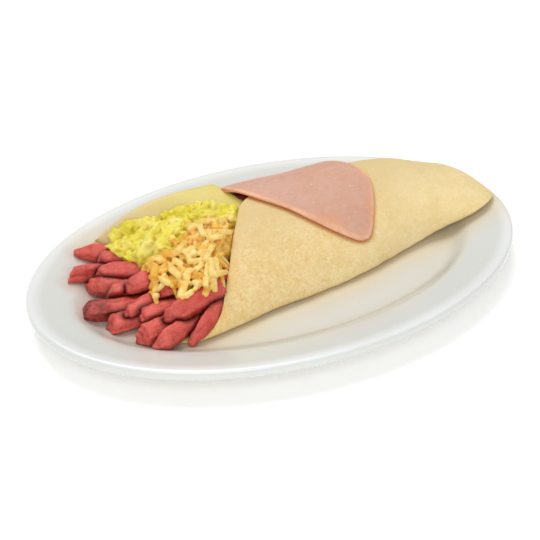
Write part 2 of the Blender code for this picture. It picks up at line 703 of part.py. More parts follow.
def mound(middle, half, top, rows, columns, below, lump):
    """A mound along X that rests on the solids below it: its upper and lower grids."""
    start, end = middle[0][0], middle[-1][0]
    upper, lower = [], []
    for i in range(rows):
        x = start + (end - start) * (i / (rows - 1)) ** 1.5
        centre = along(middle, x)
        front = reach_of(x, centre, -along(half, x), along(top, x), below)
        back = reach_of(x, centre, along(half, x), along(top, x), below)
        high, low = [], []
        for j in range(columns):
            across = math.sin(math.pi / 2 * (2 * j / (columns - 1) - 1))
            y = centre + (back if across > 0 else -front) * across
            ground = support_height(x, y, below)
            crown = along(top, x)
            height = crown - MOUND_FALL * (1 - math.sqrt(max(1 - across**2, 0.0)) ** 0.8)
            height = max(height, ground + MOUND_THIN) + lump * noise.noise(Vector((x, y, crown)) / LUMP_SIZE)
            height = max(min(height, roof_height(x, y) - GAP), ground + MOUND_THIN)
            high.append(Vector((x, y, height)))
            low.append(Vector((x, y, max(ground, min(height - MOUND_THIN, crown - MOUND_DEEP)))))
        upper.append(high)
        lower.append(low)
    return raised(upper, lower, below)


def raised(upper, lower, below):
    """The two grids, raised wherever their solid would cut into the solids below it."""
    rows, columns = len(upper), len(upper[0])
    for _ in range(RAISING_ROUNDS):
        points, faces = sheet_mesh(upper, lower)
        tree = tree_of(points, faces)
        hits = {pair[0] for other in below for pair in tree.overlap(other)}
        if not hits:
            break
        raising = set()
        for hit in hits:
            places = {n % (rows * columns) for n in faces[hit]}
            heights = {n: lower[n // columns][n % columns].z for n in places}
            mean = sum(heights.values()) / len(heights)
            raising |= {n for n, height in heights.items() if height < mean + 0.2}
        for n in raising:
            low, high = lower[n // columns][n % columns], upper[n // columns][n % columns]
            low.z += RAISING_STEP
            high.z = max(high.z, low.z + MOUND_THIN)
    return upper, lower


def make_mash(look, collection, below, sheet):
    grids = mound(MASH_MIDDLE, MASH_HALF, MASH_TOP, MASH_ROWS, MASH_COLUMNS, below, MASH_LUMP)
    mash = mesh_object("guacamole", *sheet_mesh(*grids), look, collection)
    cut_by(mash, [sheet])
    return mash


def shred_mesh(draw):
    """A short bent stick of grated cheese about the origin."""
    length, bend = draw.uniform(*SHRED_LENGTHS), draw.uniform(-SHRED_BEND, SHRED_BEND)
    rings = []
    for i in range(SHRED_RINGS):
        along_it = i / (SHRED_RINGS - 1)
        middle = Vector(((along_it - 0.5) * length, bend * 4 * along_it * (1 - along_it), 0))
        row = []
        for k in range(SHRED_SIDES):
            angle = 2 * math.pi * k / SHRED_SIDES
            row.append(middle + SHRED_RADIUS * Vector((0, math.cos(angle), math.sin(angle))))
        rings.append(row)
    return closed_tube(rings)


def make_heap(look, collection, below, sheet):
    """The grated cheese: a core with the shreds that show on it, joined into one body."""
    draw = random.Random(SEED)
    grids = mound(HEAP_MIDDLE, HEAP_HALF, HEAP_TOP, HEAP_ROWS, HEAP_COLUMNS, below, HEAP_LUMP)
    core = mesh_object("grated_cheese", *sheet_mesh(*grids), look, collection)
    cut_by(core, [sheet])
    walls = [object_tree(sheet), *below]
    surface = object_tree(core)
    shreds = new_collection("shreds")
    for n in range(SHRED_TRIES):
        x = draw.uniform(HEAP_MIDDLE[0][0], SHRED_LAST_X)
        y = along(HEAP_MIDDLE, x) + draw.uniform(-0.95, 0.95) * along(HEAP_HALF, x)
        place, normal, *_ = surface.ray_cast(Vector((x, y, ABOVE_ALL)), Vector((0, 0, -1)))
        shape, heading = shred_mesh(draw), draw.uniform(0, math.pi)
        if place is None or normal.z < STEEPEST:
            continue
        ahead = Vector((math.cos(heading), math.sin(heading), 0))
        ahead = (ahead - normal * ahead.dot(normal)).normalized()
        ahead = (ahead + normal * draw.uniform(*SHRED_TILT)).normalized()
        side = normal.cross(ahead).normalized()
        turn = Matrix((ahead, side, ahead.cross(side))).transposed()
        laid_points = [place + normal * SHRED_RAISE + turn @ p for p in shape[0]]
        tree = tree_of(laid_points, shape[1])
        if any(tree.overlap(other) for other in walls):
            continue
        mesh_object(f"shred_{n:02d}", laid_points, shape[1], look, shreds)
    join = core.modifiers.new("shreds", "BOOLEAN")
    join.operation = "UNION"
    join.solver = "MANIFOLD"
    join.operand_type = "COLLECTION"
    join.collection = shreds
    apply_modifiers(core)
    for shred in list(shreds.objects):
        bpy.data.objects.remove(shred, do_unlink=True)
    bpy.data.collections.remove(shreds)
    return core


def make_all():
    clear_scene()
    collection = new_collection("chorizo_wrap")
    cutters = new_collection("cutters")
    plate = make_plate(material("porcelain", (0.82, 0.82, 0.79), 0.2), collection)
    tortilla = make_tortilla(material("flour_tortilla", (0.80, 0.61, 0.30), 0.75, 0.1), collection)
    sheet = cutter_of(tortilla, cutters)
    slice_look = material("cheese_slice", (0.81, 0.66, 0.26), 0.4, 0.2)
    cheese = make_cheese_slice(slice_look, collection, object_tree(sheet))
    around = [plate, tortilla, cheese]
    strips = make_strips(material("sausage", (0.50, 0.09, 0.06), 0.4, 0.1), collection, cutters, around)
    filling = [object_tree(cutter_of(obj, cutters)) for obj in [cheese, *strips]]
    mash = make_mash(material("guacamole", (0.78, 0.62, 0.10), 0.3, 0.2), collection, filling, sheet)
    filling.append(object_tree(cutter_of(mash, cutters)))
    make_ham_slice(material("ham", (0.70, 0.42, 0.32), 0.4, 0.2), collection, object_tree(sheet))
    make_heap(material("grated_cheese", (0.78, 0.47, 0.12), 0.45, 0.2), collection, filling, sheet)
    for cutter in list(cutters.objects):
        bpy.data.objects.remove(cutter, do_unlink=True)


make_all()
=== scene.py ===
"""Looks for a filled flour wrap on an oval plate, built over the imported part, in metres."""
import math
import random

import bmesh
import bpy
import numpy as np
from mathutils import Matrix, Vector, noise
from mathutils.bvhtree import BVHTree
from mathutils.kdtree import KDTree


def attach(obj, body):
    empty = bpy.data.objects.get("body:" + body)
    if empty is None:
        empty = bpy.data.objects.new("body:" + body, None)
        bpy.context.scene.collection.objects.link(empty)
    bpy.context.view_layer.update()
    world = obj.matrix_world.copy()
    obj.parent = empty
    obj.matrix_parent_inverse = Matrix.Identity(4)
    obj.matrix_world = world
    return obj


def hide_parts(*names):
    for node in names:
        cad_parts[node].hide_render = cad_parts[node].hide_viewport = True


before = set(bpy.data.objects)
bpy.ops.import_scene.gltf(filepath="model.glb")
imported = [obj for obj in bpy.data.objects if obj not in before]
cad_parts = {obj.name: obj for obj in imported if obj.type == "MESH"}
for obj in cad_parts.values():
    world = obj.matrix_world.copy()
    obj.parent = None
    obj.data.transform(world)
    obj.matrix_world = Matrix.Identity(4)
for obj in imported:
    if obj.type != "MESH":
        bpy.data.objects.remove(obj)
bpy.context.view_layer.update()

MM = 0.001
SEED = 5

# Camera
# A place, and how the camera stands to it
TARGET = Vector((0, 0, 0.021))
BEARING = math.radians(-27.5)
ELEVATION = math.radians(33.9)
DISTANCE = 0.915
# In pixels: focal length, width of the picture, and where the place shows in it
FOCAL = 1549.8
IMAGE = 540
TARGET_PIXEL = (277.4, 252.7)
SENSOR = 36.0

# Light and floor
# Each light's name, place, power and size, in metres and watts
LIGHTS = (
    ("key", (0.0, 0.5, 1.3), 10.0, 0.9),
    ("fill", (-0.5, -1.1, 0.85), 8.5, 1.0),
)
WORLD_LIGHT = 0.5
FLOOR_GLOW = 0.2
FLOOR_REACH = 3

# Meshes
# How often the thin pieces are subdivided, and the fineness of the remeshed ones in mm
SUBDIVISIONS = 3
VOXEL = 0.55
# How far a point lies under its smoothed surroundings in a deep crevice, in mm
DEEP_CREVICE = 0.6
# Rays that find a height start above everything and go down
ABOVE = 0.08
DOWN = Vector((0, 0, -1))


def camera_axes():
    back = Vector((
        math.sin(BEARING) * math.cos(ELEVATION),
        -math.cos(BEARING) * math.cos(ELEVATION),
        math.sin(ELEVATION),
    ))
    right = Vector((math.cos(BEARING), math.sin(BEARING), 0))
    up = back.cross(right)
    eye = TARGET + DISTANCE * back
    across, upward = ((c - IMAGE / 2) / FOCAL * DISTANCE for c in TARGET_PIXEL)
    forward = (TARGET - right * across + up * upward - eye).normalized()
    side = forward.cross(Vector((0, 0, 1))).normalized()
    return eye, side, side.cross(forward), forward


EYE, SIDE, UP, FORWARD = camera_axes()


def sight(u, v):
    """The direction from the camera through a pixel of the photograph."""
    return (FORWARD * FOCAL + SIDE * (u - IMAGE / 2) - UP * (v - IMAGE / 2)).normalized()


def tone(red, green, blue):
    """The linear value of an sRGB colour."""
    return tuple(((c / 255 + 0.055) / 1.055) ** 2.4 for c in (red, green, blue)) + (1.0,)


class Look:
    """A material, with short calls for the nodes that it is made of."""

    def __init__(self, name, slot_name, roughness, subsurface=0.0, depth=0.0, coat=0.0):
        self.slot_name = slot_name
        self.material = bpy.data.materials.new(name)
        self.material.use_nodes = True
        self.tree = self.material.node_tree
        self.shader = self.tree.nodes["Principled BSDF"]
        self.place = self.tree.nodes.new("ShaderNodeTexCoord").outputs["Object"]
        self.shader.inputs["Roughness"].default_value = roughness
        self.shader.inputs["Subsurface Weight"].default_value = subsurface
        self.shader.inputs["Subsurface Radius"].default_value = (1.0, 0.55, 0.3)
        self.shader.inputs["Subsurface Scale"].default_value = depth
        self.shader.inputs["Coat Weight"].default_value = coat
        self.shader.inputs["Coat Roughness"].default_value = 0.12

    def node(self, kind, inputs, output=0, **settings):
        made = self.tree.nodes.new("ShaderNode" + kind)
        for key, value in settings.items():
            setattr(made, key, value)
        for key, value in inputs.items():
            self.feed(made.inputs[key], value)
        return made.outputs[output]

    def feed(self, socket, value):
        if isinstance(value, bpy.types.NodeSocket):
            self.tree.links.new(value, socket)
        else:
            socket.default_value = value

    def grain(self, size, detail=3.0, roughness=0.55, stretch=None, source=None):
        """Soft noise with features of a size in mm, from 0 to 1."""
        place = source or self.place
        if stretch:
            place = self.node("Mapping", {"Vector": place, "Scale": stretch})
        inputs = {"Vector": place, "Scale": 1 / (size * MM), "Detail": detail, "Roughness": roughness}
        return self.node("TexNoise", inputs)

    def cells(self, size):
        """The distance to the middle of a cell, for cells of a size in mm."""
        return self.node("TexVoronoi", {"Vector": self.place, "Scale": 1 / (size * MM)})

    def axis(self, number):
        """The place along x, y or z, which are 0, 1 and 2."""
        return self.node("SeparateXYZ", {"Vector": self.place}, output=number)

    def between(self, value, low, high, start=0.0, end=1.0):
        """The value's place between low and high, as a number from start to end."""
        inputs = {"Value": value, "From Min": low, "From Max": high, "To Min": start, "To Max": end}
        return self.node("MapRange", inputs)

    def times(self, a, b):
        return self.node("Math", {0: a, 1: b}, operation="MULTIPLY")

    def plus(self, a, b):
        return self.node("Math", {0: a, 1: b}, operation="ADD")

    def mix(self, share, a, b):
        return self.node("Mix", {0: share, 6: a, 7: b}, output=2, data_type="RGBA")

    def spotted(self, colour, value, low, high, share, tint, where=None):
        """The colour with a tint, from none of it at low to a share of it at high, times another value."""
        spots = self.between(value, low, high, 0.0, share)
        if where is not None:
            spots = self.times(spots, where)
        return self.mix(spots, colour, tone(*tint))

    def painted(self, name):
        return self.node("Attribute", {}, output=2, attribute_name=name)

    def painted_place(self, name):
        return self.node("Attribute", {}, output=1, attribute_name=name)

    def colour(self, value):
        self.feed(self.shader.inputs["Base Color"], value)

    def gloss(self, value):
        self.feed(self.shader.inputs["Roughness"], value)

    def relief(self, height, depth, strength=1.0):
        """Bumps of a depth in mm."""
        before = self.shader.inputs["Normal"].links
        inputs = {"Height": height, "Distance": depth * MM, "Strength": strength}
        if before:
            inputs["Normal"] = before[0].from_socket
        self.feed(self.shader.inputs["Normal"], self.node("Bump", inputs))


def made_piece(name, points, faces, look):
    """A smooth mesh object that rides on the part."""
    mesh = bpy.data.meshes.new(name)
    mesh.from_pydata([tuple(p) for p in points], [], faces)
    mesh.shade_smooth()
    mesh.materials.append(look.material)
    obj = bpy.data.objects.new(name, mesh)
    bpy.context.scene.collection.objects.link(obj)
    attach(obj, "root")
    return obj


def applied(obj):
    """Keeps what the object's modifiers make of it."""
    mesh = bpy.data.meshes.new_from_object(obj.evaluated_get(bpy.context.evaluated_depsgraph_get()))
    obj.modifiers.clear()
    obj.data = mesh
    mesh.shade_smooth()


def packed_mesh(node, paired):
    """Points and faces of a CAD node, with the points at one place joined and the triangles paired."""
    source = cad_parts[node]
    bm = bmesh.new()
    bm.from_mesh(source.data)
    bm.transform(source.matrix_world)
    bmesh.ops.remove_doubles(bm, verts=bm.verts, dist=2e-6)
    if paired:
        bend, slant = math.radians(50), math.radians(70)
        bmesh.ops.join_triangles(bm, faces=bm.faces, angle_face_threshold=bend, angle_shape_threshold=slant)
    return taken_out(bm)


def taken_out(bm):
    """Points and faces of a bmesh, which is freed."""
    bm.verts.index_update()
    points = [v.co.copy() for v in bm.verts]
    faces = [[v.index for v in f.verts] for f in bm.faces]
    bm.free()
    return points, faces


def refined(node, look, name):
    """A smooth finer copy of a thin CAD node, in place of it."""
    points, faces = packed_mesh(node, True)
    obj = made_piece(name, points, faces, look)
    finer = obj.modifiers.new("finer", "SUBSURF")
    finer.levels = SUBDIVISIONS
    applied(obj)
    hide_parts(node)
    return obj


def remeshed(node, look, size, smoothing, name, extra=()):
    """A smooth finer copy of a thick CAD node, in place of it, with other bodies melted into it."""
    points, faces = packed_mesh(node, False)
    for more_points, more_faces in extra:
        faces += [[len(points) + n for n in face] for face in more_faces]
        points += more_points
    obj = made_piece(name, points, faces, look)
    even = obj.modifiers.new("even", "REMESH")
    even.mode = "VOXEL"
    even.voxel_size = size * MM
    soft = obj.modifiers.new("soft", "SMOOTH")
    soft.factor = 0.5
    soft.iterations = smoothing
    applied(obj)
    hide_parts(node)
    return obj


def points_of(obj):
    flat = np.empty(len(obj.data.vertices) * 3)
    obj.data.vertices.foreach_get("co", flat)
    return flat.reshape(-1, 3)


def normals_of(obj):
    flat = np.empty(len(obj.data.vertices) * 3)
    obj.data.vertex_normals.foreach_get("vector", flat)
    return flat.reshape(-1, 3)


def put_points(obj, points):
    obj.data.vertices.foreach_set("co", np.ascontiguousarray(points).ravel())
    obj.data.update()


def swell(points, size, offset=0.0):
    """Soft noise from about -1 to 1 at every point, with features of a size in mm."""
    scale = 1 / (size * MM)
    return np.array([noise.noise(Vector(p) * scale + Vector((offset, 0, 0))) for p in points])


def push_out(obj, heights):
    """Moves an object's points along their normals by heights in mm."""
    put_points(obj, points_of(obj) + normals_of(obj) * (heights * MM)[:, None])


def paint(obj, name, values):
    values = np.asarray(values, dtype=float)
    kind = "FLOAT" if values.ndim == 1 else "FLOAT_VECTOR"
    layer = obj.data.attributes.new(name, kind, "POINT")
    layer.data.foreach_set("value" if values.ndim == 1 else "vector", np.ascontiguousarray(values).ravel())


def hollowness(obj, rounds):
    """How far each point lies in a crevice: 1 in deep places, 0 on even ones and -1 on bumps."""
    at, normals = points_of(obj), normals_of(obj)
    ends = np.empty(len(obj.data.edges) * 2, dtype=int)
    obj.data.edges.foreach_get("vertices", ends)
    a, b = ends.reshape(-1, 2).T
    count = np.maximum(np.bincount(np.concatenate([a, b]), minlength=len(at)), 1)[:, None]
    smooth = at
    for _ in range(rounds):
        total = np.zeros_like(at)
        np.add.at(total, a, smooth[b])
        np.add.at(total, b, smooth[a])
        smooth = total / count
    depth = ((smooth - at) * normals).sum(axis=1)
    return np.clip(depth / (DEEP_CREVICE * MM), -1, 1)


def tree_of(obj):
    mesh = obj.data
    return BVHTree.FromPolygons([v.co for v in mesh.vertices], [tuple(f.vertices) for f in mesh.polygons])


def closeness(points, tree, reach):
    """1 for a point that touches the tree's bodies, down to 0 at a reach in mm and beyond."""
    gaps = [tree.find_nearest(Vector(p), reach * MM)[3] for p in points]
    return np.array([0 if gap is None else max(1 - gap / (reach * MM), 0) for gap in gaps])


def ramp(values, zero, one):
    """0 up to one value, 1 from the other on, and even in between."""
    return np.clip((values - zero) / (one - zero), 0, 1)


def box_of(points):
    """The lowest and the highest coordinates of the points."""
    corners = np.array([tuple(p) for p in points])
    return corners.min(axis=0), corners.max(axis=0)


def rim_distance(obj, node, is_rim):
    """Distance in mm from each point to the nearest edge of the faces that a rule picks out."""
    points, faces = packed_mesh(node, True)
    places = []
    for face in faces:
        corners = [points[n] for n in face]
        if is_rim(corners):
            for a, b in zip(corners, corners[1:] + corners[:1]):
                places += [a.lerp(b, i / 8) for i in range(8)]
    tree = KDTree(len(places))
    for n, place in enumerate(places):
        tree.insert(place, n)
    tree.balance()
    return np.array([tree.find(Vector(p))[2] for p in points_of(obj)]) / MM


# Plate
# Distance in from the oval edge and height in mm, from the middle of the underside round to the middle of the
# well, with a wall round the well that is softer than the part's
PLATE_LENGTH, PLATE_WIDTH = 305.0, 203.4
PLATE_SIDES = 180
PLATE_PROFILE = (
    (152, 3.8), (100, 3.8), (60, 3.8), (47.5, 3.7), (46.0, 3.2), (45.3, 0.8), (44.4, 0.1), (42.0, 0.0),
    (41.0, 0.1), (39.6, 0.8), (38.0, 2.0), (33.0, 6.2), (26.0, 10.4), (12.0, 12.8), (1.6, 14.6), (0.35, 15.6),
    (0.0, 17.6), (0.1, 19.3), (0.8, 20.6), (2.2, 21.0), (4.6, 20.6), (14.0, 18.3), (22.0, 16.4), (26.3, 15.1),
    (29.3, 13.5), (32.6, 11.5), (36.0, 9.9), (39.5, 9.0), (43.0, 8.6),
    *((inset, 8.4) for inset in range(49, 106, 8)),
    (120, 8.4), (135, 8.4), (152, 8.4),
)
# The least width of a ring near the middle, as a share of its length
NARROWEST = 0.35
# The longest pull of a place of the profile on its curve, in mm
LONGEST_PULL = 8.0
# How far from the wrap the plate gets a painted warm reflection, partly an oil stain, and how far from the
# strips a painted red reflection of them, in mm
BOUNCE_AND_OIL_REACH, STRIP_REFLECTION_REACH = 22, 9


def porcelain():
    look = Look("porcelain_glaze", "porcelain", 0.2, coat=0.4)
    height = look.axis(2)
    # The well is warmer than the rim: partly the glaze's own tone, partly painted warm reflected light from
    # the food.
    well = look.between(height, 0.0085, 0.017, 1.0, 0.0)
    glaze = look.mix(well, tone(214, 216, 211), tone(217, 213, 201))
    # Painted highlight: the top of the lip is painted lighter.
    glaze = look.spotted(glaze, height, 0.0195, 0.0207, 1.0, (232, 234, 233))
    # Painted shade: a darker grey band at the foot of the well's wall, in the crease.
    wall = look.between(height, 0.0118, 0.0142, 1.0, 0.0)
    glaze = look.spotted(glaze, height, 0.0088, 0.0104, 0.35, (196, 196, 188), wall)
    glaze = look.spotted(glaze, look.grain(60, 2), 0.35, 0.65, 0.25, (208, 209, 204))
    # Painted warm reflection of the wrap on the plate, partly an oil stain.
    wrap_bounce_and_oil = look.times(look.painted("near_wrap"), look.between(look.grain(16, 2), 0.3, 0.6, 0.5, 0.9))
    glaze = look.mix(wrap_bounce_and_oil, glaze, tone(221, 202, 160))
    # Painted reflection: the plate is tinted pinkish red near the sausage strips, as their reflection.
    strip_reflection = look.times(look.painted("near_strips"), look.between(look.grain(9, 2), 0.35, 0.6, 0.3, 0.8))
    look.colour(look.mix(strip_reflection, glaze, tone(206, 180, 166)))
    look.relief(look.grain(14, 1), 0.02, 0.5)
    return look


def plate_curve():
    """A smooth curve through the places of the profile, with three places more between each two."""
    keys = np.array(PLATE_PROFILE, dtype=float)
    last = len(keys) - 1
    curve = []
    for i in range(last):
        a, b, c, d = keys[max(i - 1, 0)], keys[i], keys[i + 1], keys[min(i + 2, last)]
        reach = min(np.linalg.norm(c - b), LONGEST_PULL)
        start = (c - a) / max(np.linalg.norm(c - a), 1e-6) * reach
        end = (d - b) / max(np.linalg.norm(d - b), 1e-6) * reach
        for t in (0.0, 0.25, 0.5, 0.75):
            at = (2 * t**3 - 3 * t**2 + 1) * b + (3 * t**2 - 2 * t**3) * c
            curve.append(at + (t**3 - 2 * t**2 + t) * start + (t**3 - t**2) * end)
    return [*curve, keys[last]]


def make_plate(wrap, strips):
    profile = plate_curve()
    points, faces = [], []
    for inset, height in profile:
        half = PLATE_LENGTH / 2 - inset
        across = max(PLATE_WIDTH / 2 - inset, half * NARROWEST)
        for n in range(PLATE_SIDES):
            angle = 2 * math.pi * n / PLATE_SIDES
            points.append((half * math.cos(angle) * MM, across * math.sin(angle) * MM, height * MM))
    for i in range(len(profile) - 1):
        for n in range(PLATE_SIDES):
            k = (n + 1) % PLATE_SIDES
            at = i * PLATE_SIDES
            faces.append((at + n, at + k, at + PLATE_SIDES + k, at + PLATE_SIDES + n))
    faces.append(tuple(range(PLATE_SIDES - 1, -1, -1)))
    faces.append(tuple(len(points) - PLATE_SIDES + n for n in range(PLATE_SIDES)))
    obj = made_piece("plate_glazed", points, faces, porcelain())
    at = points_of(obj)
    # Painted warm reflection near the wrap, partly an oil stain, and painted red reflection near the strips.
    paint(obj, "near_wrap", closeness(at, wrap, BOUNCE_AND_OIL_REACH) ** 1.5)
    paint(obj, "near_strips", np.max([closeness(at, strip, STRIP_REFLECTION_REACH) for strip in strips], axis=0))
    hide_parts("plate")


# Tortilla
# The size and the length of a slow waver
WAVER, WAVER_LENGTH = 0.7 * MM, 0.034
# How far the crest sinks, where it does so along x, and from which height on and where in full
CREST_SINK = 1.8 * MM
CREST_MIDDLE, CREST_HALF = 0.055, 0.045
CREST_FROM, CREST_TO = 0.022, 0.042
# How far the front of the closed end is pushed out in x and y, and from where on and where in full
END_PUSH = np.array((2.8, -2.6)) * MM
END_X = (0.092, 0.126)
END_Y = (0.002, -0.022)
# How far from the ham the tortilla gets a painted orange-brown shadow along the ham's edge, in mm
HAM_SHADOW_REACH = 3.4


def mouth_face(corners):
    """Whether a face is one of those that close the sheet at the mouth of the wrap."""
    normal = (corners[1] - corners[0]).cross(corners[2] - corners[0]).normalized()
    return abs(normal.x) > 0.35 and corners[0].x < 0.005


def drift(points):
    """How far the points of the wrap, or of what lies on it, move from the part, in metres."""
    moved = np.array([tuple(WAVER * c for c in noise.noise_vector(Vector(p) / WAVER_LENGTH)) for p in points])
    along = np.clip(1 - ((points[:, 0] - CREST_MIDDLE) / CREST_HALF) ** 2, 0, 1)
    moved[:, 2] -= CREST_SINK * along * ramp(points[:, 2], CREST_FROM, CREST_TO)
    blunt = ramp(points[:, 0], *END_X) * ramp(points[:, 1], *END_Y)
    moved[:, :2] += (blunt * blunt * (3 - 2 * blunt))[:, None] * END_PUSH
    return moved


def toasted_flour():
    look = Look("toasted_flour", "flour_tortilla", 0.72, subsurface=0.12, depth=0.0015)
    near = look.between(look.axis(0), -0.02, 0.09, 1.0, 0.0)

    def more_near(share):
        """1 near the mouth, and less by a share at the closed end."""
        return look.plus(look.times(near, share), 1 - share)

    broad = look.between(look.grain(28, 3), 0.36, 0.66)
    colour = look.mix(broad, tone(231, 207, 149), tone(238, 217, 166))
    patches = look.grain(9, 6, 0.72)
    colour = look.spotted(colour, patches, 0.47, 0.64, 0.65, (221, 184, 112), more_near(0.7))
    mottle = look.grain(2.0, 6, 0.8)
    colour = look.spotted(colour, mottle, 0.46, 0.62, 0.8, (214, 178, 108), more_near(0.75))
    fine = look.grain(0.8, 4, 0.8)
    colour = look.spotted(colour, fine, 0.44, 0.6, 0.75, (222, 190, 124), more_near(0.7))
    flour = look.grain(3.4, 5, 0.7)
    colour = look.spotted(colour, flour, 0.54, 0.7, 0.5, (245, 228, 184))
    warm = look.between(look.grain(6, 3), 0.36, 0.58, 0.2, 1.0)
    colour = look.spotted(colour, look.painted("edge"), 7.0, 0.0, 0.55, (232, 184, 104), warm)
    toast = look.grain(4.6, 3, 0.6)
    colour = look.spotted(colour, toast, 0.62, 0.74, 0.6, (224, 160, 76), near)
    specks = look.between(look.cells(2.6), 0.05, 0.13, 1.0, 0.0)
    colour = look.spotted(colour, look.grain(5, 2), 0.52, 0.66, 0.6, (168, 118, 64), specks)
    # Painted shade: the highest parts of the tortilla are painted duller and darker.
    colour = look.spotted(colour, look.axis(2), 0.03, 0.043, 0.7, (214, 190, 138))
    # Painted shadow: an orange-brown line on the tortilla along the ham's edge.
    look.colour(look.spotted(colour, look.painted("ham_edge_shadow"), 0.1, 0.8, 0.8, (206, 122, 48)))
    look.relief(look.grain(5.5, 3), 0.6, 0.55)
    look.relief(look.grain(2.2, 4, 0.7), 0.35, 0.6)
    look.relief(look.grain(0.8, 4, 0.7), 0.2, 0.6)
    return look


def make_tortilla():
    obj = refined("tortilla", toasted_flour(), "tortilla_sheet")
    at = points_of(obj)
    paint(obj, "edge", rim_distance(obj, "tortilla", mouth_face))
    push_out(obj, 0.28 * swell(at, 8.0) + 0.12 * swell(at, 3.0, 7.0))
    put_points(obj, points_of(obj) + drift(at))
    return obj


# Ham slice, in mm
# Its edge faces are narrower than this
HAM_EDGE = 3.2
# A place on the line along x that the slice bends round
HAM_BEND = np.array((0, 16, 10))
# The bead along its edge, and how wide the curl of its edge is
BEAD_HEIGHT, BEAD_INSET, BEAD_WIDTH = 0.55, 0.8, 1.6
CURL_WIDTH = 13
# How far its front edge slides down, and how wide a part of it does
SLIDE, SLIDE_WIDTH = 1.8, 12
# How far its left tip is drawn out, and how long a part of it is
TIP_REACH, TIP_LENGTH = 3.2, 30


def wall_face(corners):
    """Whether a face is one of the narrow ones along the edge of the slice."""
    return min((a - b).length for a, b in zip(corners, corners[1:] + corners[:1])) < HAM_EDGE * MM


def cooked_ham():
    look = Look("cooked_ham", "ham", 0.5, subsurface=0.2, depth=0.002)
    edge, side = look.painted("edge"), look.painted("side")
    broad = look.between(look.grain(24, 3), 0.38, 0.62)
    colour = look.mix(broad, tone(206, 158, 134), tone(209, 167, 149))
    streaks = look.grain(2.4, 5, 0.7, stretch=(0.4, 1, 1))
    colour = look.spotted(colour, streaks, 0.54, 0.7, 0.5, (222, 186, 166))
    colour = look.spotted(colour, look.grain(6, 5, 0.7), 0.52, 0.66, 0.6, (205, 147, 124))
    creases = look.grain(1.8, 4, 0.7, stretch=(0.25, 1, 1))
    colour = look.spotted(colour, creases, 0.56, 0.68, 0.55, (194, 136, 114))
    colour = look.spotted(colour, look.grain(0.9, 4, 0.75), 0.46, 0.66, 0.5, (206, 156, 134))
    fat = look.between(look.cells(4.2), 0.06, 0.16, 1.0, 0.0)
    colour = look.spotted(colour, look.grain(9, 2), 0.5, 0.6, 0.6, (237, 213, 193), fat)
    orange = look.between(edge, 4.0, 16.0, 1.0, 0.0)
    colour = look.spotted(colour, look.grain(13, 2), 0.55, 0.66, 0.5, (222, 154, 106), orange)
    peach = look.between(look.grain(9, 2), 0.38, 0.6, 0.3, 1.0)
    colour = look.spotted(colour, edge, 9.0, 2.4, 0.6, (222, 158, 116), peach)
    band = look.between(look.grain(8, 3), 0.36, 0.6, 0.3, 1.0)
    colour = look.spotted(colour, edge, 4.6, 1.6, 0.85, (232, 184, 152), band)
    low = look.mix(look.between(side, 0.6, 1.0), tone(229, 163, 116), tone(214, 138, 92))
    look.colour(look.mix(look.between(side, 0.25, 0.6), colour, low))
    look.gloss(look.between(look.grain(3, 2), 0.3, 0.7, 0.4, 0.58))
    look.relief(look.grain(7, 3), 0.35, 0.5)
    look.relief(look.grain(1.6, 4, 0.65, stretch=(0.4, 1, 1)), 0.16, 0.55)
    look.relief(look.grain(0.8, 3, 0.7), 0.07, 0.5)
    return look


def make_ham():
    obj = refined("ham_slice", cooked_ham(), "ham_slice_laid")
    edge = rim_distance(obj, "ham_slice", wall_face)
    at = points_of(obj)
    x, y = at[:, 0] / MM, at[:, 1] / MM
    outwards = at * np.array([0, 1, 1]) - HAM_BEND * MM
    outwards /= np.linalg.norm(outwards, axis=1)[:, None]
    facing = (normals_of(obj) * outwards).sum(axis=1)
    front = ramp(y, 12, 4) * ramp(x, 48, 38)
    paint(obj, "edge", edge * (2.0 - front))
    paint(obj, "side", np.clip(1.1 - np.abs(facing) * 1.6, 0, 1))
    bead = BEAD_HEIGHT * np.exp(-((edge - BEAD_INSET) / BEAD_WIDTH) ** 2)
    bead *= (facing > 0.2) * (0.5 + 0.5 * front)
    uneven = np.clip(0.6 + 1.5 * swell(at * np.array([1, 1, 0.3]), 19.0, 3.0), 0, 2)
    curl = ramp(edge, CURL_WIDTH, 0) ** 2 * uneven * ramp(y, 16, 0)
    slide = SLIDE * ramp(edge, SLIDE_WIDTH, 0) * ramp(y, 12, 4)
    downwards = np.stack([np.zeros(len(at)), -outwards[:, 2], outwards[:, 1]], axis=1)
    moved = at + drift(at) + outwards * ((bead + curl) * MM)[:, None] + downwards * (slide * MM)[:, None]
    moved[:, 0] -= TIP_REACH * MM * ramp(x, x.min() + TIP_LENGTH, x.min())
    put_points(obj, moved)
    return obj


# Cheese slice
# How far its right part reaches beyond the part's, and where along x that starts and is in full
SLICE_REACH = 4.4 * MM
REACH_FROM, REACH_TO = -0.085, -0.035


def mild_cheese():
    look = Look("mild_cheese", "cheese_slice", 0.5, subsurface=0.3, depth=0.003)
    broad = look.between(look.grain(20, 2), 0.35, 0.65)
    colour = look.mix(broad, tone(218, 199, 104), tone(220, 204, 124))
    colour = look.spotted(colour, look.axis(0), -0.035, -0.07, 0.95, (216, 196, 148))
    look.colour(look.spotted(colour, look.grain(1.6, 3), 0.35, 0.7, 0.3, (217, 192, 98)))
    look.relief(look.grain(6, 2), 0.15, 0.5)
    return look


def make_cheese_slice():
    obj = refined("cheese_slice", mild_cheese(), "cheese_slice_laid")
    at = points_of(obj)
    at[:, 0] += SLICE_REACH * ramp(at[:, 0], REACH_FROM, REACH_TO)
    put_points(obj, at)
    return obj


# Sausage strips
# The middle of a patch of painted shade, where strips lie low in shadow
SHADED_PATCH = (-0.117, 0.0065, 0.013)
# The length of a strip's uneven end
STRIP_END = 0.014
# How near another strip starts to paint shade on one, in mm, and how dark the painted shade is under the ham
CROWDED_REACH = 3.8
COVERED = 0.85
# The way that the lit sides of the strips face; sides turned away from it get painted shade
LIGHT_SIDE = np.array((-0.2, -0.35, 0.9))


